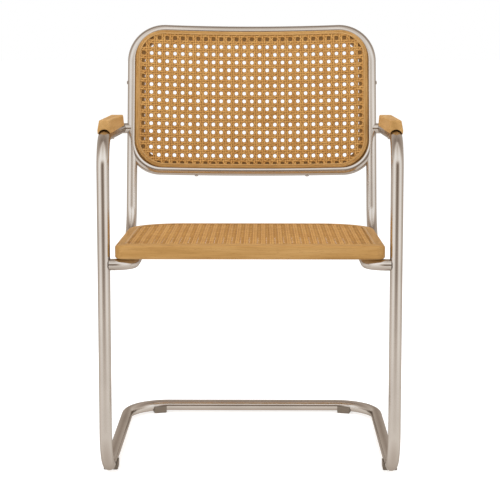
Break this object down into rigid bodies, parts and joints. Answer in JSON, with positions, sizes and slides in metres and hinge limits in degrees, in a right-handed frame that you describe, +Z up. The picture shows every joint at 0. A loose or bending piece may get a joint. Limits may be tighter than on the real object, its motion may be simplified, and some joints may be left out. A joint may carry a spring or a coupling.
{
  "type": "cantilever study chair",
  "caption": "Cantilever armchair: bent steel tube frame with a floor loop, wooden seat and bowed backrest with woven cane panels, and wooden arm pads.",
  "frame": {"origin": "on the floor, under the middle of the whole chair (bottom centre of its box)", "axes": "+Z up, the chair faces -Y, X runs from side to side and X = 0 is the plane of symmetry"},
  "size_m": [0.5926, 0.5796, 0.8721],
  "materials": {
    "nickel_tube": "warm satin nickel",
    "beech": "honey stained beech, satin lacquer",
    "cane": "woven cane, light lacquer",
    "cane_spline": "reed spline, light lacquer",
    "taupe_plastic": "moulded, matt",
    "screw_steel": "plain"
  },
  "bodies": {
    "root": {"base_frame_tube": "nickel_tube", "arm_stub_left": "nickel_tube", "arm_stub_right": "nickel_tube", "arm_end_plug_left": "taupe_plastic", "arm_end_plug_right": "taupe_plastic", "seat_back_tube": "nickel_tube", "back_lower_rail": "nickel_tube", "seat_frame": "beech", "seat_cane": "cane", "seat_cane_spline": "cane_spline", "back_frame": "beech", "back_cane": "cane", "back_cane_spline": "cane_spline", "arm_pad_left": "beech", "arm_pad_right": "beech", "front_glide_left": "taupe_plastic", "front_glide_right": "taupe_plastic", "rear_glide_left": "taupe_plastic", "rear_glide_right": "taupe_plastic", "seat_screws": "screw_steel", "back_screws": "screw_steel", "arm_pad_screws": "screw_steel"}
  },
  "joints": []
}
